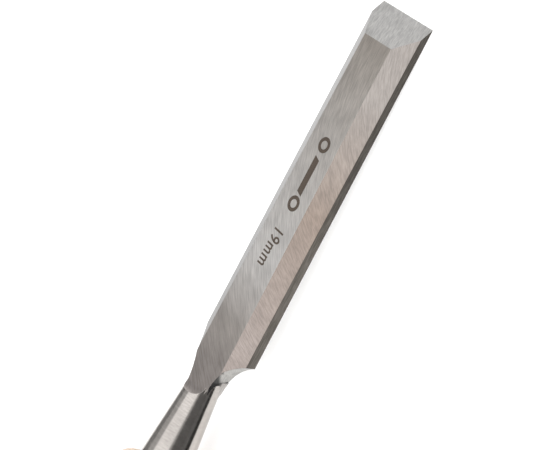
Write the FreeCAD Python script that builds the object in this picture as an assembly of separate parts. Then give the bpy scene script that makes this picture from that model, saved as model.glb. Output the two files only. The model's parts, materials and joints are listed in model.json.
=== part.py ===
import FreeCAD, Part
import math
import os

# Bevel-edged bench chisel, 19 mm: forged blade, wood handle, front ferrule, strike hoop.
# Everything is drawn in the tool's own frame, in mm: x runs along the tool toward the
# cutting edge with 0 at the right shoulder corner, y to the left, z up from the flat back.
# rest() then lays the whole tool on the bench: bevel side up, on its edge and its belly.

# ---- blade ----
blade_length = 89.0             # right shoulder corner to cutting edge
edge_width = 19.0               # the size the chisel is sold by
shoulder_width = 18.8
edge_thickness = 4.75           # back to land, taken at the edge before it is ground
shoulder_thickness = 5.25
edge_land_width = 10.05         # flat land between the two long bevels
shoulder_land_width = 10.95
long_bevel_angle = 32.8         # slope of the two long bevels, degrees
grind_angle = 30.0              # slope of the cutting bevel, degrees

# ---- shoulders: hollows left by a round wheel, seen from above ----
right_hollow_x = -10.3
right_hollow_radius = 10.5
right_waist = 4.1               # centre line to the hollow, at the land
left_hollow_x = -12.6
left_hollow_radius = 20.0
left_waist = 3.55
hollow_lean = 8.0               # the hollows lean in toward the back, degrees
dressed_depth = 0.25            # the shoulder faces are dressed this much deeper
right_dressed_end = -7.35       # where the dressing stops, leaving a small ledge
left_dressed_end = -6.0
dressed_end_radius = 2.7        # the dressing ends round, as seen from the side
dressed_end_height = 1.6
flare_x = -12.5                 # where the round neck begins to open out into the blade
flare_radius = 9.0
flare_sink = 0.2                # the flare starts this far under the neck's skin

# ---- neck and tang ----
axis_height = 3.05              # centre line of neck, tang and handle above the back
neck_length = 32.2              # shoulder corner to the seat on the handle
neck_seat_radius = 6.4
neck_radius = 3.14              # at the shoulder corner
runout_radius = 4.0             # curve on which land and back leave the neck
land_tongue_x = -9.0            # where the land begins to curve up off the neck
back_tongue_x = -9.0
tang_length = 62.0
tang_root = 7.6                 # square tang, side at the seat
tang_tip = 4.2                  # side at its end

# ---- handle, measured back from its front face ----
handle_length = 124.0
nose_round = 3.4                # the nose is rounded from the front face to the ferrule
waist_radius = 11.8
waist_at = 22.0
belly_swell = 4.2               # how much the belly stands out beyond the waist
belly_at = 56.0
belly_curve = 80.0              # radius of the swell in front of the belly
rear_curve = 520.0              # radius of the swell behind it
dome_height = 3.4
dome_edge = 1.2

# ---- ferrule and hoop ----
ferrule_let_in = 1.0            # depth of the step turned in the wood for it
ferrule_wall = 0.85
ferrule_length = 12.0
ferrule_round = 0.4
hoop_let_in = 1.2
hoop_wall = 1.6
hoop_length = 8.0
hoop_round = 0.7

# ---- fits ----
tang_side_gap = 0.03            # the tang is driven in and wedges in its socket
tang_end_gap = 1.0
ring_fit = 0.0                  # both rings are driven on, size for size

# ---- sizes that follow ----
nose_x = -neck_length
neck_slope = (neck_seat_radius - neck_radius) / neck_length
lean = math.tan(math.radians(hollow_lean))
belly_radius = waist_radius + belly_swell
ferrule_end = nose_round + ferrule_length
dome_at = handle_length - dome_height
hoop_at = dome_at - hoop_length
waist_to_belly = belly_at - waist_at
waist_curve = (waist_to_belly ** 2 + belly_swell ** 2) / (2 * belly_swell) - belly_curve
turn_at = waist_at + waist_to_belly * waist_curve / (waist_curve + belly_curve)


def bulge(radius, curve, crown_at, at):
    """Outline radius on an arc that is widest, at the given radius, at crown_at."""
    return radius - curve + math.sqrt(curve ** 2 - (at - crown_at) ** 2)


def wood_radius(at):
    """Outline of the bare wood: hollow at the waist, swelling to the belly."""
    if at < turn_at:
        return 2 * waist_radius - bulge(waist_radius, waist_curve, waist_at, at)
    if at < belly_at:
        return bulge(belly_radius, belly_curve, belly_at, at)
    return bulge(belly_radius, rear_curve, belly_at, at)


ferrule_bore = wood_radius(ferrule_end) - ferrule_let_in
hoop_bore = wood_radius(hoop_at) - hoop_let_in
dome_radius = (hoop_bore ** 2 + dome_height ** 2) / (2 * dome_height)


def vec(x, y, z):
    return FreeCAD.Vector(x, y, z)


def along(at_shoulder, at_edge, x):
    """A size that changes evenly from the shoulder to the cutting edge."""
    return at_shoulder + (at_edge - at_shoulder) * x / blade_length


def thickness(x):
    return along(shoulder_thickness, edge_thickness, x)


def section(x):
    """Six corners of the bevelled blade at x."""
    half = along(shoulder_width, edge_width, x) / 2
    land = along(shoulder_land_width, edge_land_width, x) / 2
    top = thickness(x)
    side = top - math.tan(math.radians(long_bevel_angle)) * (half - land)
    return [
        vec(x, -half, 0),
        vec(x, half, 0),
        vec(x, half, side),
        vec(x, land, top),
        vec(x, -land, top),
        vec(x, -half, side),
    ]


def between(first, last):
    """Solid with flat faces between two outlines that have the same number of corners."""
    faces = [Part.Face(Part.makePolygon(first + first[:1]))]
    faces.append(Part.Face(Part.makePolygon(last + last[:1])))
    for i in range(len(first)):
        j = (i + 1) % len(first)
        ring = [first[i], first[j], last[j], last[i], first[i]]
        faces.append(Part.Face(Part.makePolygon(ring)))
    return Part.Solid(Part.makeShell(faces))


def across(profile, half_width):
    """Solid from a closed list of edges in the x-z plane, drawn out both ways in y."""
    face = Part.Face(Part.Wire(profile))
    face.translate(vec(0, -half_width, 0))
    return face.extrude(vec(0, 2 * half_width, 0))


def line(a, b):
    return Part.makeLine(vec(a[0], 0, a[1]), vec(b[0], 0, b[1]))


def arc(a, middle, b):
    points = [vec(p[0], 0, p[1]) for p in (a, middle, b)]
    return Part.Arc(*points).toShape()


def arc_point(centre, radius, angle):
    turn = math.radians(angle)
    return (centre[0] + radius * math.cos(turn), centre[1] + radius * math.sin(turn))


def as_spline(cone):
    """The same cone as a spline surface: flat cuts across it end in finite curves."""
    return cone.toNurbs()


def hollow(x, side, waist, radius):
    """Leaning round cutter; side is +1 on the left and -1 on the right."""
    low, high = -12.0, 16.0
    centre = side * (waist + radius)
    low_radius = radius + lean * (shoulder_thickness - low)
    high_radius = radius + lean * (shoulder_thickness - high)
    foot = vec(x, centre, low)
    cone = Part.makeCone(low_radius, high_radius, high - low, foot, vec(0, 0, 1))
    return as_spline(cone)


def hollow_and_back(x, side, waist, radius):
    """The round cutter, carried straight back along the neck from its narrowest place."""
    low, high = -12.0, 16.0
    low_waist = waist - lean * (shoulder_thickness - low)
    high_waist = waist - lean * (shoulder_thickness - high)
    far = waist + radius
    corners = [(low_waist, low), (far, low), (far, high), (high_waist, high)]
    front = [vec(x, side * y, z) for y, z in corners]
    rear = [vec(x - neck_length, side * y, z) for y, z in corners]
    return [hollow(x, side, waist, radius), between(front, rear)]


def round_ended(shape, x):
    """The part of a cutter that lies in front of x, with its rear end rounded."""
    centre_x = x + dressed_end_radius
    slab = Part.makeBox(80, 120, 60, vec(centre_x, -60, -30))
    foot = vec(centre_x, -60, dressed_end_height)
    end = Part.makeCylinder(dressed_end_radius, 120, foot, vec(0, 1, 0))
    return shape.common(slab.fuse(end))


def dressing():
    """Both shoulder faces are dressed a little deeper, stopping short of the neck."""
    right = hollow(right_hollow_x, -1, right_waist - dressed_depth, right_hollow_radius)
    left = hollow(left_hollow_x, 1, left_waist - dressed_depth, left_hollow_radius)
    return [round_ended(right, right_dressed_end), round_ended(left, left_dressed_end)]


def flare():
    """Round envelope that lets the square-edged blank die away into the neck."""
    start_radius = neck_radius - neck_slope * flare_x - flare_sink
    centre = (flare_x, start_radius + flare_radius)
    wide = start_radius + flare_radius
    front = (flare_x + flare_radius, wide)
    start = (flare_x, start_radius)
    middle = arc_point(centre, flare_radius, 315)
    far = blade_length + 5
    return turned(
        [
            line((flare_x, 0), start),
            arc(start, middle, front),
            line(front, (front[0], 2 * wide)),
            line((front[0], 2 * wide), (far, 2 * wide)),
            line((far, 2 * wide), (far, 0)),
            line((far, 0), (flare_x, 0)),
        ]
    )


def blank():
    """The bevelled blade with both shoulders hollowed, before any grinding at the edge."""
    cutters = hollow_and_back(right_hollow_x, -1, right_waist, right_hollow_radius)
    cutters += hollow_and_back(left_hollow_x, 1, left_waist, left_hollow_radius)
    body = between(section(flare_x), section(blade_length)).cut(cutters)
    return body.common(flare())


def above_land():
    """What is ground off above the land, curving up off the neck behind the shoulders."""
    start = (land_tongue_x, thickness(land_tongue_x))
    centre = (start[0], start[1] + runout_radius)
    middle = arc_point(centre, runout_radius, 225)
    back = arc_point(centre, runout_radius, 180)
    far = (blade_length + 5, thickness(blade_length + 5))
    top = 30.0
    profile = [
        line(start, far),
        line(far, (far[0], top)),
        line((far[0], top), (back[0], top)),
        line((back[0], top), back),
        arc(back, middle, start),
    ]
    return across(profile, 30)


def below_back():
    """The same on the back, which is ground dead flat."""
    start = (back_tongue_x, 0.0)
    centre = (start[0], -runout_radius)
    middle = arc_point(centre, runout_radius, 135)
    back = arc_point(centre, runout_radius, 180)
    far = (blade_length + 5, 0.0)
    low = -30.0
    profile = [
        line(start, far),
        line(far, (far[0], low)),
        line((far[0], low), (back[0], low)),
        line((back[0], low), back),
        arc(back, middle, start),
    ]
    return across(profile, 30)


def above_cutting_bevel():
    """Wedge that leaves the cutting bevel, meeting the back at the cutting edge."""
    reach = 30.0
    high = reach * math.tan(math.radians(grind_angle))
    edge = (blade_length, 0.0)
    rear = (blade_length - reach, high)
    front = (blade_length + 5, 0.0)
    corner = (blade_length + 5, high)
    profile = [line(edge, rear), line(rear, corner), line(corner, front), line(front, edge)]
    return across(profile, 30)


def neck():
    """Round taper from the seat on the handle to a point well inside the blade."""
    inside = 14.0
    spare = 2.0
    front_radius = neck_radius - neck_slope * inside
    rear_radius = neck_seat_radius + neck_slope * spare
    start = vec(inside, 0, axis_height)
    cone = Part.makeCone(
        front_radius, rear_radius, inside + neck_length + spare, start, vec(-1, 0, 0)
    )
    wide = 2 * rear_radius + spare
    corner = vec(nose_x, -wide / 2, axis_height - wide / 2)
    return as_spline(cone).common(Part.makeBox(neck_length + inside, wide, wide, corner))


def square(x, side):
    half = side / 2
    corners = [(-half, -half), (half, -half), (half, half), (-half, half)]
    return [vec(x, y, axis_height + z) for y, z in corners]


def tang():
    return between(square(nose_x, tang_root), square(nose_x - tang_length, tang_tip))


def tang_socket():
    """Tapered square hole the tang is driven into."""
    depth = tang_length + tang_end_gap
    shrink = (tang_root - tang_tip) / tang_length
    mouth = tang_root + 2 * tang_side_gap + shrink
    end = mouth - shrink * (depth + 1)
    return between(square(nose_x + 1, mouth), square(nose_x - depth, end))


def make_blade():
    body = blank().fuse(neck())
    body = body.cut([above_land(), below_back(), above_cutting_bevel()] + dressing())
    body = body.fuse(tang()).removeSplitter()
    return body


def turned(points_and_edges):
    """Solid turned about the handle's centre line from edges drawn as (x, radius)."""
    face = Part.Face(Part.Wire(points_and_edges))
    face.translate(vec(0, 0, axis_height))
    return face.revolve(vec(0, 0, axis_height), vec(1, 0, 0), 360)


def handle_outline():
    """Edges of the handle's half outline, from its front face to the domed end."""

    def p(at, radius):
        return (nose_x - at, radius)

    def wood(at):
        return p(at, wood_radius(at))

    nose_middle = nose_round * (1 - math.sqrt(0.5))
    dome_mid = handle_length - dome_radius + math.sqrt(dome_radius ** 2 - hoop_bore ** 2 / 4)
    nose_face = p(0, ferrule_bore - nose_round)
    nose_edge = p(nose_round, ferrule_bore)
    ferrule_stop = p(ferrule_end, ferrule_bore)
    hoop_stop = p(hoop_at, hoop_bore)
    dome_start = p(dome_at, hoop_bore)
    return [
        line(p(0, 0), nose_face),
        arc(nose_face, p(nose_middle, ferrule_bore - nose_middle), nose_edge),
        line(nose_edge, ferrule_stop),
        line(ferrule_stop, wood(ferrule_end)),
        arc(wood(ferrule_end), wood(waist_at), wood(turn_at)),
        arc(wood(turn_at), wood((turn_at + belly_at) / 2), wood(belly_at)),
        arc(wood(belly_at), wood((belly_at + hoop_at) / 2), wood(hoop_at)),
        line(wood(hoop_at), hoop_stop),
        line(hoop_stop, dome_start),
        arc(dome_start, p(dome_mid, hoop_bore / 2), p(handle_length, 0)),
        line(p(handle_length, 0), p(0, 0)),
    ]


def edges_at(shape, x, radius):
    """Round edges of a turned shape that stand at x and have the given radius."""
    found = []
    for edge in shape.Edges:
        if edge.Degenerated or not isinstance(edge.Curve, Part.Circle):
            continue
        if abs(edge.Curve.Radius - radius) > 0.001:
            continue
        if abs(edge.Curve.Center.x - x) < 0.001:
            found.append(edge)
    return found


def make_handle():
    body = turned(handle_outline())
    body = body.makeFillet(dome_edge, edges_at(body, nose_x - dome_at, hoop_bore))
    return body.cut(tang_socket())


def ring(bore, wall, length, at, rounding):
    inner = bore + ring_fit
    outer = inner + wall
    front, back = nose_x - at, nose_x - at - length
    corners = [(front, inner), (front, outer), (back, outer), (back, inner)]
    edges = [line(corners[i], corners[(i + 1) % 4]) for i in range(4)]
    body = turned(edges)
    rims = edges_at(body, front, outer) + edges_at(body, back, outer)
    return body.makeFillet(rounding, rims)


def tilt_on(x, z, radius):
    """Tilt that brings the cutting edge and a round of the outline onto one line."""
    reach = blade_length - x
    return math.asin(radius / math.hypot(reach, z)) - math.atan2(z, reach)


def rest(shape):
    """Lay the tool on z = 0, on its edge and what it meets next, centred over the origin."""
    rim_x = nose_x - nose_round - ferrule_round
    rim_z = axis_height - ferrule_bore - ring_fit - ferrule_wall + ferrule_round
    belly_z = axis_height - belly_radius + belly_curve
    on_ferrule = tilt_on(rim_x, rim_z, ferrule_round)
    on_belly = tilt_on(nose_x - belly_at, belly_z, belly_curve)
    tilt = max(on_ferrule, on_belly)
    dome_x = nose_x - handle_length + dome_radius
    rear = dome_x * math.cos(tilt) + axis_height * math.sin(tilt) - dome_radius
    front = blade_length * math.cos(tilt)
    placed = shape.copy()
    placed.rotate(vec(0, 0, 0), vec(0, 1, 0), math.degrees(tilt))
    placed.translate(vec(-(front + rear) / 2, 0, blade_length * math.sin(tilt)))
    return placed


def main():
    os.makedirs("parts", exist_ok=True)
    parts = {
        "blade": make_blade(),
        "handle": make_handle(),
        "front_ferrule": ring(
            ferrule_bore, ferrule_wall, ferrule_length, nose_round, ferrule_round
        ),
        "strike_hoop": ring(hoop_bore, hoop_wall, hoop_length, hoop_at, hoop_round),
    }
    for name, shape in parts.items():
        placed = rest(shape)
        placed.exportStep("parts/" + name + ".step")
        box = placed.BoundBox
        print(
            name,
            "solids", len(placed.Solids),
            "valid", placed.isValid(),
            "volume", round(placed.Volume, 1),
            "x", round(box.XMin, 2), round(box.XMax, 2),
            "y", round(box.YMin, 2), round(box.YMax, 2),
            "z", round(box.ZMin, 2), round(box.ZMax, 2),
        )


main()
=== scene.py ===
# %% [markdown]
# # A bevel-edged bench chisel
# The chisel lies on a bench, bevel side up, on its cutting edge and on the belly of its
# handle. The CAD model gives the frame: four solids (blade, handle, front ferrule, strike
# hoop). This notebook gives them their finishes:
# steel ground on a wheel, turned steel rings, and pale turned wood under a clear lacquer.

# %% Load the frame
import json
import math

import bmesh
import bpy
import numpy as np
from mathutils import Matrix, Vector


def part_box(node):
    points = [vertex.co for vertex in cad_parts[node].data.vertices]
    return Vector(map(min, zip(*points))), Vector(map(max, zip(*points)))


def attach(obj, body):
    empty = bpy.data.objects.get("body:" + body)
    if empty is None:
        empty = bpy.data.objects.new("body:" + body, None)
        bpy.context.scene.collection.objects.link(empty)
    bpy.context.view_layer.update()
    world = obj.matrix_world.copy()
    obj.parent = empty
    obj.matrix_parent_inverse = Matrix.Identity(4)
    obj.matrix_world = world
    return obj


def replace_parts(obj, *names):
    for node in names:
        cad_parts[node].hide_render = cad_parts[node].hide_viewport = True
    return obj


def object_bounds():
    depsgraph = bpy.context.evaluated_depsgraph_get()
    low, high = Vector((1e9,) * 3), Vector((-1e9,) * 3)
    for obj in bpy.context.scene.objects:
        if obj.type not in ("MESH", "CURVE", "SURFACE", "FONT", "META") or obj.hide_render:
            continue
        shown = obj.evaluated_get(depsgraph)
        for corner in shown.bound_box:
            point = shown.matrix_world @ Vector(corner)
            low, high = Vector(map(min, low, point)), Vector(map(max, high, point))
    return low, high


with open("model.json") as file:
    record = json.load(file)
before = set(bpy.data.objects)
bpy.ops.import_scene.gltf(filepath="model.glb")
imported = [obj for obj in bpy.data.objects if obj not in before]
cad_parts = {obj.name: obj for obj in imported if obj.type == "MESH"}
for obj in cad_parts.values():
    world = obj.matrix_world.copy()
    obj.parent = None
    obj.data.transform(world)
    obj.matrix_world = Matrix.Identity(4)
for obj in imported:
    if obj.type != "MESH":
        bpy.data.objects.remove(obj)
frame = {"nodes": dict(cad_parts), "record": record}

cad_low, cad_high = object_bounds()
nodes = frame["nodes"]
record = frame["record"]
MM = 0.001
print("CAD box in mm:", [round((b - a) / MM, 2) for a, b in zip(cad_low, cad_high)])

# %% [markdown]
# ## The tool's own axes
# A chisel at rest leans a little, so its centre line is not level. Work is far easier in
# axes that lean with it: x along the tool toward the edge, y to the left, z up off the
# flat back. Two mounts in the record hold these directions: the ferrule's axis runs along
# the tool, and the back's normal points straight out of the back. The origin lies on the
# middle line of the back, level with the right shoulder, one blade length behind the edge.
# Each piece is built in these axes and turned into the frame by one matrix at the end. The
# finishes undo that same turn, so scratches and wood fibres run true along the tool.

# %% Build the tool's axes
mounts = {m["name"]: m for m in record["mounts"]}
along = Vector(mounts["ferrule_outside"]["axis"]).normalized()
up = -Vector(mounts["blade_back"]["axis"]).normalized()
left = up.cross(along)
blade_length = 89.0 * MM
edge_point = Vector((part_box("blade")[1][0], 0.0, cad_low[2]))
shoulder_point = edge_point - along * blade_length
tool = Matrix((along, left, up)).transposed().to_4x4()
tool.translation = shoulder_point
to_tool = tool.inverted()
ferrule_middle = to_tool @ Vector(mounts["ferrule_outside"]["pos_m"])
axis_height = ferrule_middle.z
print("lean in degrees:", round(math.degrees(math.asin(-along.z)), 2))
print("centre line above the back, mm:", round(axis_height / MM, 2))


# %% [markdown]
# ## Reading a CAD solid in the tool's axes
# Every finish below needs to know where a solid lies along the tool and how far it stands
# from the centre line. Its own vertices say so exactly.

# %% Measure a solid
def in_tool_axes(name):
    """Vertices of a CAD node in the tool's axes, one row each, in metres."""
    mesh = nodes[name].data
    flat = np.empty(len(mesh.vertices) * 3)
    mesh.vertices.foreach_get("co", flat)
    turn = np.array(to_tool.to_3x3())
    return flat.reshape(-1, 3) @ turn.T + np.array(to_tool.translation)


def about_axis(points):
    """Distance along the tool and distance from the centre line, for each point."""
    return points[:, 0], np.hypot(points[:, 1], points[:, 2] - axis_height)


for name in sorted(nodes):
    x, r = about_axis(in_tool_axes(name))
    print(name, "x", round(x.min() / MM, 2), "to", round(x.max() / MM, 2),
          "r up to", round(r.max() / MM, 2))

# %% [markdown]
# ## Node helpers
# A shader is a small drawing made of boxes and wires. Short helpers keep the drawing
# readable: they add a box, wire it up, do arithmetic, mix colours and make noise. Grinding
# scratches, lathe lines and wood fibre are all the same noise, stretched in different ways.

# %% Node helpers
class Drawing:
    """A material with a Principled shader and quick ways to add nodes to it."""

    def __init__(self, name, **sockets):
        self.material = bpy.data.materials.new(name)
        self.material.use_nodes = True
        self.tree = self.material.node_tree
        self.shader = self.tree.nodes["Principled BSDF"]
        for key, value in sockets.items():
            self.shader.inputs[key.replace("_", " ")].default_value = value

    def add(self, kind, inputs=(), **settings):
        node = self.tree.nodes.new(kind)
        for key, value in settings.items():
            setattr(node, key, value)
        for index, value in enumerate(inputs):
            self.give(node.inputs[index], value)
        return node

    def give(self, socket, value):
        if isinstance(value, bpy.types.NodeSocket):
            self.tree.links.new(value, socket)
        else:
            socket.default_value = value

    def math(self, operation, *values):
        return self.add("ShaderNodeMath", values, operation=operation).outputs[0]

    def place(self, x, y, z):
        return self.add("ShaderNodeCombineXYZ", (x, y, z)).outputs[0]

    def noise(self, vector, scale=1.0, detail=2.0, roughness=0.5, distortion=0.0):
        node = self.add("ShaderNodeTexNoise")
        self.give(node.inputs["Vector"], vector)
        node.inputs["Scale"].default_value = scale
        node.inputs["Detail"].default_value = detail
        node.inputs["Roughness"].default_value = roughness
        node.inputs["Distortion"].default_value = distortion
        return node.outputs[0]

    def ramp(self, value, *stops):
        node = self.add("ShaderNodeValToRGB", (value,))
        bar = node.color_ramp.elements
        while len(bar) < len(stops):
            bar.new(0.5)
        for stop, (position, colour) in zip(bar, stops):
            stop.position = position
            if isinstance(colour, (int, float)):
                colour = (colour,) * 3
            stop.color = (*colour[:3], 1.0)
        return node.outputs[0]

    def mix(self, factor, first, second, blend="MIX"):
        node = self.add("ShaderNodeMix", data_type="RGBA", blend_type=blend)
        self.give(node.inputs["Factor"], factor)
        colours = [s for s in node.inputs if s.type == "RGBA"]
        for socket, value in zip(colours, (first, second)):
            if isinstance(value, tuple):
                value = (*value[:3], 1.0)
            self.give(socket, value)
        return [s for s in node.outputs if s.type == "RGBA"][0]

    def turned_by(self, vector, matrix, kind):
        """A vector node's result turned by a matrix; kind POINT also moves it."""
        node = self.add("ShaderNodeMapping", (vector,), vector_type=kind)
        node.inputs["Rotation"].default_value = matrix.to_euler()
        if kind == "POINT":
            node.inputs["Location"].default_value = matrix.translation / MM
            node.inputs["Scale"].default_value = (1 / MM,) * 3
        return node.outputs[0]

    def millimetres(self):
        """Place along the tool's own axes, counted in millimetres."""
        spot = self.add("ShaderNodeTexCoord").outputs["Object"]
        split = self.add("ShaderNodeSeparateXYZ", (self.turned_by(spot, to_tool, "POINT"),))
        return split.outputs[0], split.outputs[1], split.outputs[2]


# %% [markdown]
# ## Ground steel
# The blade is ground on a big wheel, and the wheel leaves its tracks: fine arcs, all bent
# about one far centre. On the cutting bevel and the sides they run nearly straight along
# the tool, and on the round neck they run round it. Painted streaks would look flat, so
# the tracks are height: noise stretched along the track, fed to a bump. The same noise
# makes the ridges a little paler and rougher than the grooves. The steel also gets an
# anisotropic sheen turned along the tracks, which is what makes brushed metal look brushed.

# %% Tracks of the wheel
def track_lines(draw, kind, x, y, z, centre):
    """Place across the tracks and place along them, both in mm, plus the track direction."""
    if kind == "arc":
        dx = draw.math("SUBTRACT", x, centre[0])
        dy = draw.math("SUBTRACT", y, centre[1])
        across = draw.math("SQRT", draw.math("ADD", draw.math("MULTIPLY", dx, dx),
                                             draw.math("MULTIPLY", dy, dy)))
        turn = draw.math("ARCTAN2", dy, dx)
        length = draw.math("MULTIPLY", turn, math.hypot(*centre) or 1.0)
        direction = draw.place(draw.math("MULTIPLY", dy, -1.0), dx, 0.0)
        return across, length, direction
    if kind == "round":
        height = draw.math("SUBTRACT", z, axis_height / MM)
        length = draw.math("MULTIPLY", draw.math("ARCTAN2", height, y), 5.0)
        direction = draw.place(0.0, height, draw.math("MULTIPLY", y, -1.0))
        return x, length, direction
    across = draw.math("ADD", y, draw.math("MULTIPLY", z, 0.8))
    return across, x, draw.place(1.0, 0.0, 0.0)


# %% [markdown]
# One function makes every steel finish, because they differ only in how the tracks run and
# how bright and rough the metal is. The tracks come from two noises, a wide one and a thin
# one. Bright steel also drifts in tone along its length, mostly because each stretch of it
# reflects another part of the room. A plain studio has little to reflect, so a finish may
# be given a few stops of painted reflection along the tool, and a few stops of painted
# shade up from the back. The Bevel node rounds the edges by a tenth of a millimetre,
# without touching the shape.

# %% Ground steel
ledge_x = -7.35


def ground_steel(name, kind, dark, light, gloss, depth, centre=(0, 0), sheen=0.5,
                 coarse=3.0, fine=8.0, length=0.05, edge=0.12,
                 painted_reflection_along=(), painted_shade_up=(), slant=0.0):
    """Steel with grinding tracks.

    depth is in micrometres, coarse and fine are tracks per mm, and edge is in mm. The
    stops of painted reflection are in mm along the tool. Those of painted shade are in mm
    above the back, on a slope that falls by slant for each mm behind the ledge.
    """
    draw = Drawing(name, Metallic=1.0, Anisotropic=sheen)
    x, y, z = draw.millimetres()
    across, run, direction = track_lines(draw, kind, x, y, z, centre)
    wide = draw.noise(draw.place(draw.math("MULTIPLY", across, coarse),
                                 draw.math("MULTIPLY", run, coarse * length), z),
                      detail=4.0, roughness=0.62, distortion=0.06)
    thin = draw.noise(draw.place(draw.math("MULTIPLY", across, fine),
                                 draw.math("MULTIPLY", run, fine * length * 0.5), z),
                      detail=2.0, roughness=0.55, distortion=0.04)
    cloud = draw.noise(draw.place(x, y, z), scale=0.18, detail=3.0)
    rare = draw.ramp(wide, (0.60, 0.0), (0.70, 1.0))
    grain = draw.math("ADD", draw.math("MULTIPLY", wide, 0.55),
                      draw.math("MULTIPLY", thin, 0.45))
    tone = draw.ramp(grain, (0.40, dark), (0.60, light))
    patchy = draw.ramp(cloud, (0.30, 0.90), (0.70, 1.06))
    colour = draw.mix(1.0, tone, patchy, blend="MULTIPLY")
    leaning = draw.math("SUBTRACT", z, draw.math("MULTIPLY", slant,
                                                 draw.math("SUBTRACT", x, ledge_x)))
    # The first set of stops is painted reflection along the tool, the second painted shade up
    # from the back.
    for place, stops, first, span in ((x, painted_reflection_along, -40.0, 130.0),
                                      (leaning, painted_shade_up, -6.0, 12.0)):
        if stops:
            share = draw.math("DIVIDE", draw.math("SUBTRACT", place, first), span)
            stops = [((at - first) / span, value) for at, value in stops]
            colour = draw.mix(1.0, colour, draw.ramp(share, *stops), blend="MULTIPLY")
    draw.give(draw.shader.inputs["Base Color"], colour)
    rough = draw.math("ADD", draw.math("MULTIPLY", grain, 0.16), gloss - 0.08)
    rough = draw.math("ADD", rough, draw.math("MULTIPLY", rare, 0.05))
    draw.give(draw.shader.inputs["Roughness"], rough)
    direction = draw.turned_by(direction, tool, "VECTOR")
    turned = draw.add("ShaderNodeVectorTransform", (direction,), vector_type="VECTOR",
                      convert_from="OBJECT", convert_to="WORLD")
    draw.give(draw.shader.inputs["Tangent"], turned.outputs[0])
    soft_edge = draw.add("ShaderNodeBevel", samples=4)
    soft_edge.inputs["Radius"].default_value = edge * MM
    bump = draw.add("ShaderNodeBump")
    bump.inputs["Strength"].default_value = 1.0
    bump.inputs["Distance"].default_value = depth * 1e-6
    draw.give(bump.inputs["Height"], grain)
    draw.give(bump.inputs["Normal"], soft_edge.outputs[0])
    draw.give(draw.shader.inputs["Normal"], bump.outputs[0])
    return draw.material


# %% [markdown]
# ## The blade's nine finishes
# The land and the long bevels carry the wheel's arcs. Painted reflection makes the land
# dull at the shoulders, brightest a quarter of the way along and warmer toward the edge,
# and the right bevel pinkest at its middle. The left bevel is a much darker copy of the
# same steel, painted shade. The cutting bevel's scratches run straight toward the edge,
# and the sides are dull and very dark, a painted dark reflection, and darker still toward
# the edge in painted reflection. The dressed shoulders are bright, with painted shade along
# their top, and the waist behind them carries painted shade where the land overhangs it.
# The tracks of the neck run round it. The back, which lies on the bench, is given the fine
# finish of lapped steel.

# %% The blade's finishes
wheel_centre, bevel_wheel_centre = (79.0, -66.0), (95.0, -74.0)
lap_centre = (40.0, -300.0)
# The land's stops along the tool are painted reflection: dull at the shoulders, brightest a
# quarter along, warmer toward the edge.
land_steel = ground_steel(
    "ground land", "arc", (0.66, 0.64, 0.62), (0.93, 0.905, 0.88), 0.34, 9.0,
    wheel_centre,
    painted_reflection_along=((-8, (0.41, 0.38, 0.37)), (6, (0.56, 0.53, 0.51)), (24, 0.92),
                 (84, (0.55, 0.51, 0.47))))
# The right bevel's stops along the tool are painted reflection, pinkest at its middle.
right_bevel_steel = ground_steel(
    "ground right bevel", "arc", (0.36, 0.33, 0.31), (0.51, 0.465, 0.435), 0.36, 9.0,
    bevel_wheel_centre,
    painted_reflection_along=((4, (0.75, 0.71, 0.70)), (38, (0.67, 0.60, 0.55)),
                 (68, (0.76, 0.76, 0.76))))
# The left bevel is a much darker copy of the land's steel: painted shade, so that the bright
# bench it reflects reads grey.
left_bevel_steel = ground_steel("ground left bevel", "arc", (0.157, 0.151, 0.148),
                                (0.218, 0.211, 0.206), 0.34, 5.0, wheel_centre)
cutting_bevel_steel = ground_steel("ground cutting bevel", "straight",
                                   (0.54, 0.53, 0.52), (0.76, 0.75, 0.73), 0.36, 5.0,
                                   coarse=2.2, length=0.12)
# The side's very dark base is a painted dark reflection; its stops along the tool darken it
# toward the edge, painted reflection too.
side_steel = ground_steel("dull side, painted dark reflection", "straight", (0.085, 0.076, 0.067),
                          (0.15, 0.137, 0.122), 0.38, 3.0, length=0.08, sheen=0.3,
                          painted_reflection_along=((28, 1.04), (50, 0.63)))
# Its stops up from the back are painted shade along the top of the dressed shoulder.
shoulder_steel = ground_steel("dressed shoulder", "straight", (0.30, 0.295, 0.28),
                              (0.46, 0.45, 0.43), 0.30, 3.0, slant=1.1,
                              painted_shade_up=((-4.0, 0.92), (2.0, 1.0), (3.4, 0.10)))
# Its stops up from the back paint the waist dark: painted shade under the overhanging land.
hollow_steel = ground_steel("undressed hollow, painted shade", "straight", (0.30, 0.285, 0.27),
                            (0.46, 0.44, 0.42), 0.34, 2.0,
                            painted_shade_up=((1.6, 1.0), (2.3, 0.25), (3.0, 0.02)))
neck_steel = ground_steel("turned neck", "round", (0.385, 0.360, 0.338),
                          (0.455, 0.428, 0.404), 0.16, 0.3, coarse=3.0, length=0.06,
                          sheen=0.3)
back_steel = ground_steel("lapped back", "arc", (0.50, 0.49, 0.48), (0.68, 0.67, 0.66),
                          0.26, 2.5, lap_centre)
finishes = [land_steel, right_bevel_steel, left_bevel_steel, cutting_bevel_steel,
            side_steel, shoulder_steel, hollow_steel, neck_steel, back_steel]
LAND, RIGHT, LEFT, CUTTING, SIDE, SHOULDER, HOLLOW, NECK, BACK = range(len(finishes))
print("steel finishes:", len(finishes))

# %% [markdown]
# ## The blade
# The blade is one forging, from the cutting edge to the tang inside the handle, and the
# CAD solid already has its exact shape, so it is copied instead of built again. Its neck
# is a cone, which opens out into the blade by a hollow curve, and the land and the back
# run out of it on small curves. Their sizes are needed twice: to tell which faces belong
# to the neck, and to shade them as true curves, not as the small flats of the mesh.

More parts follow.
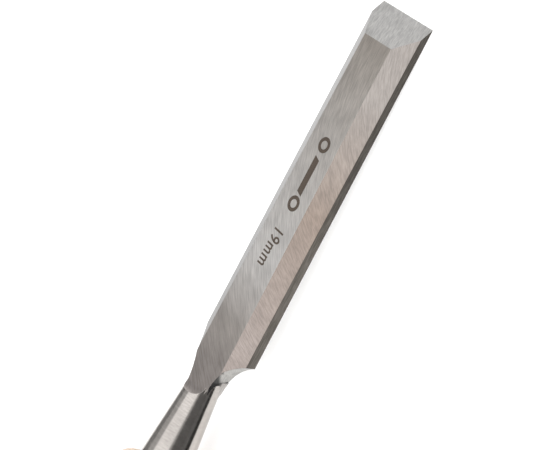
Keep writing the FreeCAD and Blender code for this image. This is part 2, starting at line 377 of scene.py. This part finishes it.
# %% Curves of the neck
blade_x, blade_r = about_axis(in_tool_axes("blade"))
seat_x = about_axis(in_tool_axes("handle"))[0].max()
seat_radius = blade_r[abs(blade_x - seat_x) < 0.01 * MM].max()
neck_radius_at_shoulder = 3.14 * MM
neck_slope = (neck_radius_at_shoulder - seat_radius) / -seat_x
flare_start, flare_radius, flare_sink = -12.5 * MM, 9.0 * MM, 0.2 * MM
flare_far = (neck_radius_at_shoulder + neck_slope * flare_start - flare_sink
             + flare_radius)
runout_start, runout_radius = -9.0 * MM, 4.0 * MM
land_at_shoulder, land_at_edge = 5.25 * MM, 4.75 * MM
print("neck radius at the handle, mm:", round(seat_radius / MM, 2))


def land_height(x):
    """Height of the land above the back; the blade thins toward the edge."""
    return land_at_shoulder + (land_at_edge - land_at_shoulder) * x / blade_length


def neck_normal(spot):
    """Outward direction of the neck's cone beside a point."""
    out = Vector((0.0, spot.y, spot.z - axis_height)).normalized()
    out.x = -neck_slope
    return out.normalized()


def on_neck(spot, within=0.005):
    """Whether a point lies on the neck's cone, within so many millimetres."""
    from_axis = math.hypot(spot.y, spot.z - axis_height)
    neck = neck_radius_at_shoulder + neck_slope * spot.x
    return abs(from_axis - neck) < within * MM


def on_flare(spot, within=0.01):
    """Whether a point lies on the curve by which the neck opens out into the blade."""
    run = spot.x - flare_start
    if not 0 <= run <= flare_radius:
        return False
    flare = flare_far - math.sqrt(flare_radius ** 2 - run ** 2)
    return abs(math.hypot(spot.y, spot.z - axis_height) - flare) < within * MM


def flare_normal(spot):
    """Outward direction on the flare: toward the middle of its hollow curve."""
    from_axis = math.hypot(spot.y, spot.z - axis_height)
    share = (flare_far - from_axis) / from_axis
    return Vector((flare_start - spot.x, spot.y * share,
                   (spot.z - axis_height) * share)).normalized()


def runout_normal(spot, finish):
    """Outward direction where the land and the back curve up off the neck."""
    middle = land_height(runout_start) + runout_radius if finish == LAND else -runout_radius
    return Vector((runout_start - spot.x, 0.0, middle - spot.z)).normalized()


# %% [markdown]
# Each face is sorted by the way it looks and by where it lies: the land looks up, the long
# bevels look up and out, and the sides look straight out. Behind the blade, a face that
# stands at the neck's own distance from the centre line is neck. What is left is shoulder,
# as far back as it was dressed, and hollow behind that.

# %% Sort the faces
dressed_to = {-1: ledge_x * MM, 1: -6.0 * MM}
land_reaches_to, bevels_reach_to, sides_stand_beyond = -14 * MM, -6 * MM, 9.2 * MM


def finish_of(face):
    """Which of the blade's finishes a face has."""
    way = face.normal
    spot = face.calc_center_median()
    corners_on_flare = all(on_flare(v.co) for v in face.verts)
    if corners_on_flare and on_flare(spot, 0.12) and way.dot(flare_normal(spot)) > 0.9:
        return NECK
    corners_on_neck = all(on_neck(v.co) for v in face.verts)
    if corners_on_neck and on_neck(spot, 0.06) and way.dot(neck_normal(spot)) > 0.98:
        return NECK
    if way.x > 0.4 and way.z > 0.8 and spot.x > 0:
        return CUTTING
    if abs(way.y) < 0.03 and spot.x > land_reaches_to and abs(way.z) > 0.05:
        return LAND if spot.z > axis_height else BACK
    if abs(way.y) > 0.98 and spot.x > 0 and abs(spot.y) > sides_stand_beyond:
        return SIDE
    if way.z > 0.8 and spot.x > bevels_reach_to and abs(way.x) < 0.1:
        return RIGHT if way.y < 0 else LEFT
    if spot.x < seat_x + 0.01 * MM:
        return NECK
    if spot.x < dressed_to[1 if spot.y > 0 else -1]:
        return HOLLOW
    return SHOULDER


def crease(work, degrees):
    """Keep edges sharp where two faces meet at more than the given angle."""
    for edge in work.edges:
        if len(edge.link_faces) == 2 and edge.calc_face_angle() > math.radians(degrees):
            edge.smooth = False


# %% [markdown]
# Every piece made in the tool's axes is turned into the frame here. The turn goes into the
# mesh itself, so the object's own box is as tight as the piece.

# %% Show a piece
def show_piece(name, mesh):
    """Turn a mesh from the tool's axes into the frame and show it as a piece."""
    mesh.transform(tool)
    piece = bpy.data.objects.new(name, mesh)
    bpy.context.scene.collection.objects.link(piece)
    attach(piece, "root")
    return piece


# %% [markdown]
# A smooth mesh blends the light across its edges, which makes a flat ground face look
# pillowy. So each corner is given the exact direction that the real surface has there:
# flat on the ground faces, and round on the neck, its flare and the ends of the land.

# %% True normals
def true_normals(mesh):
    """Shade flat faces dead flat and the neck as the exact cone it is."""
    normals = [corner.vector.copy() for corner in mesh.corner_normals]
    for face in mesh.polygons:
        finish = face.material_index
        level = finish in (LAND, BACK) and abs(face.normal.z) > 0.9995
        for loop in face.loop_indices:
            spot = mesh.vertices[mesh.loops[loop].vertex_index].co
            if level or finish in (RIGHT, LEFT, CUTTING, SIDE):
                normals[loop] = face.normal.copy()
            elif finish in (LAND, BACK) and face.center.x < runout_start:
                normals[loop] = runout_normal(spot, finish)
            elif finish == NECK and on_flare(spot):
                normals[loop] = flare_normal(spot)
            elif finish == NECK and on_neck(spot):
                if face.normal.dot(neck_normal(spot)) > 0.9:
                    normals[loop] = neck_normal(spot)
    mesh.normals_split_custom_set(normals)


# %% [markdown]
# The copy is sorted, its edges are kept sharp where the faces meet at more than 14
# degrees, and it takes the place of the CAD blade.

# %% The forged blade
blade_mesh = nodes["blade"].data.copy()
blade_mesh.transform(to_tool)
blade_mesh.materials.clear()
for finish in finishes:
    blade_mesh.materials.append(finish)
work = bmesh.new()
work.from_mesh(blade_mesh)
bmesh.ops.remove_doubles(work, verts=work.verts, dist=1e-7)
counts = [0] * len(finishes)
for face in work.faces:
    face.smooth = True
    face.material_index = finish_of(face)
    counts[face.material_index] += 1
crease(work, 14)
work.to_mesh(blade_mesh)
work.free()
true_normals(blade_mesh)
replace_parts(show_piece("forged_blade", blade_mesh), "blade")
print("faces by finish:", dict(zip([m.name for m in finishes], counts)))

# %% [markdown]
# ## Maker's mark and size
# The size is etched into the land with acid through a stencil, which leaves dull brown
# figures a few hundredths of a millimetre deep. The mark beside it is a plain device of
# two rings and a bar. Such marks could be drawn in the steel's shader, but thin plates let
# into the land keep their outlines crisp at any distance. Their tops stand a hair above
# it, and both marks read from the edge toward the handle.

# %% Etched finish
etched = Drawing("etched mark", Metallic=0.35)
ex, ey, ez = etched.millimetres()
pitted = etched.noise(etched.place(ex, ey, ez), scale=5.0, detail=4.0)
etched.give(etched.shader.inputs["Base Color"],
            etched.ramp(pitted, (0.35, (0.042, 0.032, 0.025)), (0.65, (0.092, 0.070, 0.054))))
etched.give(etched.shader.inputs["Roughness"], etched.ramp(pitted, (0.3, 0.5), (0.7, 0.72)))


# %% Plates on the land
land_lift, mark_thickness = 0.012 * MM, 0.03 * MM


def lay_on_land(name, corners, faces):
    """A thin closed plate from flat corners in mm, its top just above the land."""
    mesh = bpy.data.meshes.new(name)
    points = [(x * MM, y * MM, land_height(x * MM) + land_lift) for x, y in corners]
    mesh.from_pydata(points, [], faces)
    mesh.materials.append(etched.material)
    sheet = show_piece(name, mesh)
    plate = sheet.modifiers.new("plate", "SOLIDIFY")
    plate.thickness = mark_thickness
    plate.offset = -1.0
    print(name, "faces", len(faces))


def band(outer, inner, cx, cy, steps=96):
    """Flat ring: corners and faces."""
    corners, faces = [], []
    for i in range(steps):
        turn = 2 * math.pi * i / steps
        corners.append((cx + outer * math.cos(turn), cy + outer * math.sin(turn)))
        corners.append((cx + inner * math.cos(turn), cy + inner * math.sin(turn)))
    for i in range(steps):
        j = (i + 1) % steps
        faces.append((2 * i, 2 * j, 2 * j + 1, 2 * i + 1))
    return corners, faces


# %% Rings and bar
mark_middle_y = -0.35
ring_outer, ring_inner, ring_front_x, ring_rear_x = 1.95, 1.05, 53.6, 38.2
lay_on_land("mark_ring_front", *band(ring_outer, ring_inner, ring_front_x, mark_middle_y))
lay_on_land("mark_ring_rear", *band(ring_outer, ring_inner, ring_rear_x, mark_middle_y))
bar_front, bar_rear, bar_half, bar_slant = 50.6, 41.2, 0.95, 0.8
lay_on_land("mark_bar", [(bar_front, mark_middle_y + bar_half),
                         (bar_rear, mark_middle_y + bar_half),
                         (bar_rear - bar_slant, mark_middle_y - bar_half),
                         (bar_front - bar_slant, mark_middle_y - bar_half)],
            [(0, 1, 2, 3)])


# %% Size number
def etched_text(name, text, front_x, length, height):
    """Text reading toward the handle, fitted to the given length and height in mm."""
    curve = bpy.data.curves.new(name, "FONT")
    curve.body = text
    curve.size = 1.0
    curve.shear = 0.12
    curve.offset = 0.015
    curve.space_character = 1.12
    curve.resolution_u = 24
    source = bpy.data.objects.new(name + "_outline", curve)
    flat = bpy.data.meshes.new_from_object(source)
    bpy.data.objects.remove(source)
    spots = [(v.co.x, v.co.y) for v in flat.vertices]
    faces = [tuple(f.vertices) for f in flat.polygons]
    wide = [min(a for a, b in spots), max(a for a, b in spots)]
    tall = [min(b for a, b in spots), max(b for a, b in spots)]
    corners = []
    for a, b in spots:
        across = (b - tall[0]) / (tall[1] - tall[0]) - 0.5
        run = (a - wide[0]) / (wide[1] - wide[0])
        corners.append((front_x - length * run, mark_middle_y - height * across))
    bpy.data.meshes.remove(flat)
    lay_on_land(name, corners, faces)


etched_text("size_mark", "19mm", front_x=31.2, length=9.4, height=3.7)

# %% [markdown]
# ## Turned pieces
# The handle, the ferrule and the hoop all come off a lathe, so each is one outline swung
# round the centre line. The outline is read from the CAD solid itself, ring by ring, and a
# smooth curve is run through it between the corners. Round work made this way has no
# facets on its swell and still keeps every corner the lathe tool left.

# %% Read an outline
def outline_of(name, hollow_below=0.0, keep_behind=-1e9):
    """(x, r) of the outside in mm, front to back; steps keep both of their corners."""
    x, r = about_axis(in_tool_axes(name))
    rings = {}
    for place, radius in zip(np.round(x / MM, 3), np.round(r / MM, 3)):
        if radius > hollow_below or place < keep_behind:
            rings.setdefault(float(place), set()).add(float(radius))
    points = []
    for place in sorted(rings, reverse=True):
        radii = sorted(rings[place])
        ends = [radii[0], radii[-1]] if radii[-1] - radii[0] > 0.05 else [radii[-1]]
        if points and abs(points[-1][1] - ends[-1]) < abs(points[-1][1] - ends[0]):
            ends.reverse()
        points += [(place, radius) for radius in ends]
    return points


# %% Smooth an outline
def smooth_outline(points, pieces=5, corner=35):
    """Run a curve through the points between corners sharper than the given angle."""
    points = [Vector(p) for p in points]
    sharp = [0]
    for i in range(1, len(points) - 1):
        before, after = points[i] - points[i - 1], points[i + 1] - points[i]
        if before.angle(after) > math.radians(corner):
            sharp.append(i)
    sharp.append(len(points) - 1)
    curve = [points[0]]
    for first, last in zip(sharp, sharp[1:]):
        for i in range(first, last):
            a = points[max(i - 1, first)]
            b, c = points[i], points[i + 1]
            d = points[min(i + 2, last)]
            gap = (c - b).length
            lead = (c - a) / max((c - a).length, 1e-9) * gap
            tail = (d - b) / max((d - b).length, 1e-9) * gap
            steps = pieces if last - first > 1 else 1
            for k in range(1, steps + 1):
                t = k / steps
                spot = (b * (2 * t ** 3 - 3 * t ** 2 + 1) + lead * (t ** 3 - 2 * t ** 2 + t)
                        + c * (3 * t ** 2 - 2 * t ** 3) + tail * (t ** 3 - t ** 2))
                spot.y = min(spot.y, max(p.y for p in points))
                curve.append(spot)
    return [(p.x, max(p.y, 0.0)) for p in curve]


# %% Swing an outline
def turned_piece(name, outline, material, replaced, steps=144, closed=False):
    """Swing an outline of (x, r) in mm round the centre line and finish it."""
    points, rows = [], []
    for x, r in outline:
        if r < 1e-6:
            rows.append([len(points)])
            points.append((x * MM, 0.0, axis_height))
            continue
        row = []
        for i in range(steps):
            turn = 2 * math.pi * i / steps
            row.append(len(points))
            points.append((x * MM, r * MM * math.sin(turn),
                           axis_height + r * MM * math.cos(turn)))
        rows.append(row)
    if closed:
        rows.append(rows[0])
    faces = []
    for here, there in zip(rows, rows[1:]):
        for i in range(steps):
            j = (i + 1) % steps
            if len(here) == 1:
                faces.append((here[0], there[i], there[j]))
            elif len(there) == 1:
                faces.append((here[i], there[0], here[j]))
            else:
                faces.append((here[i], there[i], there[j], here[j]))
    mesh = bpy.data.meshes.new(name)
    mesh.from_pydata(points, [], faces)
    mesh.materials.append(material)
    work = bmesh.new()
    work.from_mesh(mesh)
    bmesh.ops.recalc_face_normals(work, faces=work.faces)
    for face in work.faces:
        face.smooth = True
    crease(work, 30)
    work.to_mesh(mesh)
    work.free()
    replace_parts(show_piece(name, mesh), replaced)
    print(name, "rings", len(rows), "faces", len(faces))


# %% [markdown]
# ## Wood
# Pale, close-grained wood is growth rings round a heart that lies well outside a handle,
# so on the turned skin the rings become long flowing lines, and on the struck end they
# become arcs. Everything is drawn in three dimensions, so skin and end grain agree: rings
# wavering along the tree, fibres and pores many times longer than wide, and short rays
# that catch the light. A clear lacquer lies over all of it.

# %% Turned wood
def turned_wood(name, heart_y, heart_z, ring_width):
    """Wood whose heart runs along the tool at heart_y, heart_z, all in mm."""
    draw = Drawing(name, Coat_Weight=0.45, Coat_Roughness=0.16, Coat_IOR=1.5)
    x, y, z = draw.millimetres()
    sway = draw.noise(draw.place(draw.math("MULTIPLY", x, 0.012), y, z), scale=0.07,
                      detail=2.0)
    dy = draw.math("SUBTRACT", y, heart_y)
    dz = draw.math("SUBTRACT", z, heart_z)
    depth = draw.math("SQRT", draw.math("ADD", draw.math("MULTIPLY", dy, dy),
                                        draw.math("MULTIPLY", dz, dz)))
    depth = draw.math("ADD", depth, draw.math("MULTIPLY", sway, 9.0))
    ring = draw.math("FRACT", draw.math("DIVIDE", depth, ring_width))
    growth = draw.ramp(ring, (0.0, (0.60, 0.375, 0.225)), (0.55, (0.57, 0.345, 0.200)),
                       (0.90, (0.43, 0.235, 0.125)), (1.0, (0.58, 0.355, 0.210)))
    fibre = draw.noise(draw.place(draw.math("MULTIPLY", x, 0.10), y, z), scale=3.2,
                       detail=5.0, roughness=0.65)
    tone = draw.mix(1.0, growth, draw.ramp(fibre, (0.30, 0.78), (0.68, 1.14)),
                    blend="MULTIPLY")
    pore = draw.noise(draw.place(draw.math("MULTIPLY", x, 0.35), y, z), scale=5.5,
                      detail=1.0)
    pores = draw.ramp(pore, (0.655, 0.0), (0.70, 1.0))
    tone = draw.mix(draw.math("MULTIPLY", pores, 0.55), tone, (0.20, 0.10, 0.05))
    ray = draw.noise(draw.place(draw.math("MULTIPLY", x, 1.1),
                                draw.math("MULTIPLY", y, 0.45), z), scale=1.5, detail=1.0)
    rays = draw.ramp(ray, (0.64, 0.0), (0.70, 1.0))
    tone = draw.mix(draw.math("MULTIPLY", rays, 0.25), tone, (0.70, 0.47, 0.30))
    draw.give(draw.shader.inputs["Base Color"], tone)
    draw.give(draw.shader.inputs["Roughness"], draw.ramp(fibre, (0.3, 0.50), (0.7, 0.36)))
    lathe = draw.noise(draw.place(x, 0.0, 0.0), scale=2.6, detail=2.0)
    height = draw.math("ADD", draw.math("MULTIPLY", fibre, 0.7),
                       draw.math("SUBTRACT", draw.math("MULTIPLY", lathe, 0.5),
                                 draw.math("MULTIPLY", pores, 0.6)))
    bump = draw.add("ShaderNodeBump")
    bump.inputs["Strength"].default_value = 1.0
    bump.inputs["Distance"].default_value = 12e-6
    draw.give(bump.inputs["Height"], height)
    draw.give(draw.shader.inputs["Normal"], bump.outputs[0])
    return draw.material


# %% [markdown]
# ## The handle
# The handle's skin is the CAD outline, made smooth. Its socket for the tang is turned as a
# plain bore, since the tang fills it and it is never seen. Points of the CAD solid nearer
# the centre line than the socket's corners are left out, except on the dome of the struck
# end, where the outline really does run in to the centre.

# %% Handle
handle_wood = turned_wood("lacquered pale wood", heart_y=21.0, heart_z=-34.0,
                          ring_width=2.3)
tang_bore, tang_bore_length, socket_reach, dome = 5.6, 64.0, 6.0, 3.3
tang_bore_end = seat_x / MM - tang_bore_length
rear_x = about_axis(in_tool_axes("handle"))[0].min() / MM
skin = smooth_outline(outline_of("handle", hollow_below=socket_reach,
                                 keep_behind=rear_x + dome))
bore = [(tang_bore_end, 0.0), (tang_bore_end, tang_bore), (skin[0][0], tang_bore)]
turned_piece("turned_handle", bore + skin, handle_wood, "handle")

# %% [markdown]
# ## Ferrule and hoop
# The ferrule keeps the wood from splitting round the tang, and the hoop keeps the struck
# end from spreading. Both are short steel tubes with rounded corners, turned bright and
# driven on, so their fine lathe lines run round them.

# %% Ferrule and hoop
ring_steel = ground_steel("turned ring steel", "round", (0.47, 0.455, 0.435),
                          (0.60, 0.585, 0.565), 0.24, 2.5, coarse=3.0, length=0.03,
                          sheen=0.6)
for name, piece_name in (("front_ferrule", "turned_ferrule"),
                         ("strike_hoop", "turned_hoop")):
    ring_bore = (about_axis(in_tool_axes(name))[1] / MM).min()
    skin = smooth_outline(outline_of(name, hollow_below=ring_bore + 0.05))
    loop = skin + [(skin[-1][0], ring_bore), (skin[0][0], ring_bore)]
    turned_piece(piece_name, loop, ring_steel, name, closed=True)

# %% [markdown]
# ## The bench
# The bench is a plain pale sheet at the level that the chisel stands on, wide enough that
# its edge is out of sight. It is part of the stage, not of the chisel.

# %% Floor
floor_mesh = bpy.data.meshes.new("floor")
reach = 3.0
floor_mesh.from_pydata([(-reach, -reach, 0), (reach, -reach, 0), (reach, reach, 0),
                        (-reach, reach, 0)], [], [(0, 1, 2, 3)])
floor = bpy.data.objects.new("floor", floor_mesh)
floor.location.z = cad_low[2]
bpy.context.scene.collection.objects.link(floor)
paper = Drawing("pale floor", Roughness=0.9)
paper.shader.inputs["Base Color"].default_value = (0.92, 0.92, 0.92, 1.0)
floor_mesh.materials.append(paper.material)
print("floor at z, mm:", round(cad_low[2] / MM, 2))

# %% [markdown]
# ## Light
# A pale surround lights the chisel from all sides, and one wide soft box overhead gives
# the flats their sheen. The bench needs more light than the steel does, so a second box
# lights it. That one isn't seen in the steel, and nothing throws a shadow in its light.

# %% Light
def soft_box(name, at, aim, width, length, watts):
    """A rectangular lamp at one point, turned toward another; sizes in metres."""
    data = bpy.data.lights.new(name, "AREA")
    data.shape = "RECTANGLE"
    data.size, data.size_y = width, length
    data.energy = watts
    lamp = bpy.data.objects.new(name, data)
    lamp.location = at
    lamp.rotation_mode = "QUATERNION"
    lamp.rotation_quaternion = (Vector(aim) - Vector(at)).to_track_quat("-Z", "Y")
    bpy.context.scene.collection.objects.link(lamp)
    return lamp


blade_middle = Vector((0.05, 0.0, 0.005))
surround = 0.72
world = bpy.data.worlds.new("pale surround")
world.use_nodes = True
world.node_tree.nodes["Background"].inputs[0].default_value = (*[surround] * 3, 1.0)
bpy.context.scene.world = world
soft_box("overhead soft box", (0.05, -0.07, 0.62), blade_middle,
         width=0.9, length=0.75, watts=2.0)
bench_fill = soft_box("bench fill", (0.03, 0.0, 0.9), blade_middle,
                      width=1.6, length=1.6, watts=12.0)
bench_fill.visible_glossy = False
bench_fill.data.use_shadow = False

# %% [markdown]
# ## Cards
# Polished steel shows what stands round it, and in an all-white room it looks like
# plaster. So, as in a studio, grey card lies and stands along the right side with a black
# strip on the bench in front of it, and paler card stands far off on the left. The black
# strip is also a painted shadow: it lies where the blade's shade falls on the bench, and
# the steel reflects it as that shade. The neck then shows a grey band with a black line
# at its edge, as real necks do. The cards are seen only in reflections: they neither shade
# the bench nor show on it.

# %% Dark cards
def flat_card(name, corners, grey):
    """A card from four corners in metres, seen only in reflections."""
    mesh = bpy.data.meshes.new(name)
    mesh.from_pydata(corners, [], [tuple(range(len(corners)))])
    card = bpy.data.objects.new(name, mesh)
    bpy.context.scene.collection.objects.link(card)
    paint = Drawing(name + " paint", Roughness=0.9)
    paint.shader.inputs["Base Color"].default_value = (grey, grey, grey, 1.0)
    mesh.materials.append(paint.material)
    card.visible_camera = False
    card.visible_diffuse = False
    card.visible_shadow = False
    print(name, "grey", grey)


rear, middle, bend, front = -0.25, 0.024, 0.036, 0.20
far_right, card_height, lift = -0.35, 0.34, 0.0006
# The black strip is painted shadow as well as a flag: in reflections it stands for the
# blade's shade on the bench beside it.
flat_card("black_shadow_strip", [(rear, -0.026, lift), (middle, -0.0185, lift),
                          (bend, -0.0215, lift), (front, -0.0105, lift),
                          (front, -0.035, lift), (rear, -0.050, lift)], 0.010)
flat_card("grey_bench_card", [(rear, -0.050, lift), (front, -0.035, lift),
                              (front, far_right, lift), (rear, far_right, lift)], 0.11)
flat_card("grey_upright_card", [(rear, far_right, lift), (front, far_right, lift),
                                (front, far_right, card_height),
                                (rear, far_right, card_height)], 0.13)
half_width, far_left, left_height = 0.4, 0.5, 0.36
flat_card("left_upright_card", [(-half_width, far_left, lift), (half_width, far_left, lift),
                                (half_width, far_left, left_height),
                                (-half_width, far_left, left_height)], 0.24)

# %% [markdown]
# ## Camera
# A long lens from well back keeps the blade's long edges nearly parallel. It looks down at
# the right-hand side of the blade and is rolled, so the tool leans up and to the right.
# The handle runs out of the frame at the bottom. Everything is given in the tool's axes.

# %% Camera
camera_data = bpy.data.cameras.new("camera")
camera = bpy.data.objects.new("camera", camera_data)
bpy.context.scene.collection.objects.link(camera)
bpy.context.scene.camera = camera
aim = tool @ (Vector((30.9, 4.5, 2.5)) * MM)
toward_camera = Vector((0.1488, -0.7165, 0.6815))
picture_up = Vector((0.8768, 0.4143, 0.2442))
camera_distance, lens_mm, sensor_mm = 0.7012, 195.8, 36.0
lean = tool.to_3x3()
back = (lean @ toward_camera).normalized()
right = (lean @ picture_up).cross(back).normalized()
facing = Matrix((right, back.cross(right), back)).transposed().to_4x4()
facing.translation = aim + back * camera_distance
camera.matrix_world = facing
camera_data.sensor_width = sensor_mm
camera_data.lens = lens_mm
camera_data.clip_start, camera_data.clip_end = 0.01, 20.0

scene = bpy.context.scene
scene.view_settings.view_transform = "Standard"
scene.view_settings.look = "None"
scene.view_settings.exposure = 0.0
print("camera at, m:", [round(c, 3) for c in camera.location])
